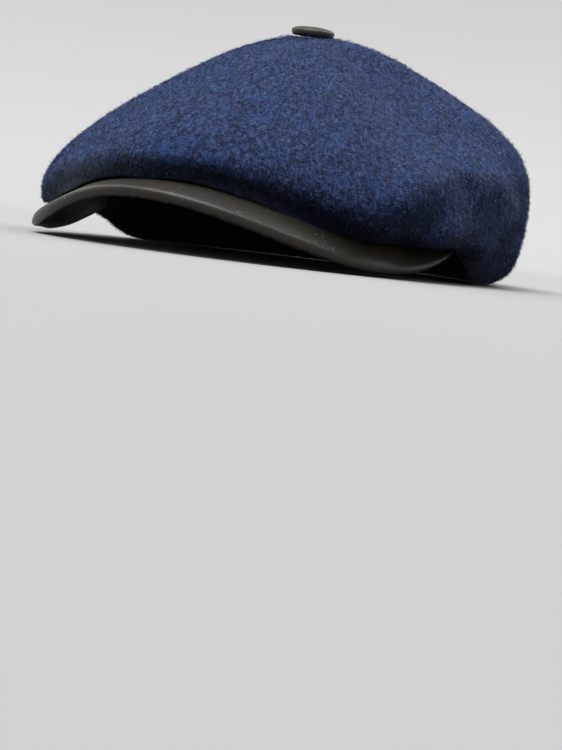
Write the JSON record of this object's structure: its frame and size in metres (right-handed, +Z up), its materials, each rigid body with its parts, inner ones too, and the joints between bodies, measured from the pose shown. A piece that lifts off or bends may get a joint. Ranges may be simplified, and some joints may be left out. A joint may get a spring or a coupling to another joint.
{
  "type": "winter cap",
  "caption": "Soft knitted wool cap with a full round crown that folds forward over a stiff arched leather peak, topped by a covered button.",
  "frame": {"origin": "on the surface the cap stands on, under the middle of its overall length and width", "axes": "+Z up, the peak points to -Y, the wearer's left is +X"},
  "size_m": [0.1965, 0.238, 0.1003],
  "materials": {
    "wool": "fulled wool knit, blue melange, matt and fuzzy",
    "leather": "dark olive brown, fine grain, soft sheen",
    "facing_leather": "dark brown, matt"
  },
  "bodies": {
    "root": {"crown": "wool", "peak": "leather", "peak_facing": "facing_leather", "button": "leather"}
  },
  "joints": []
}
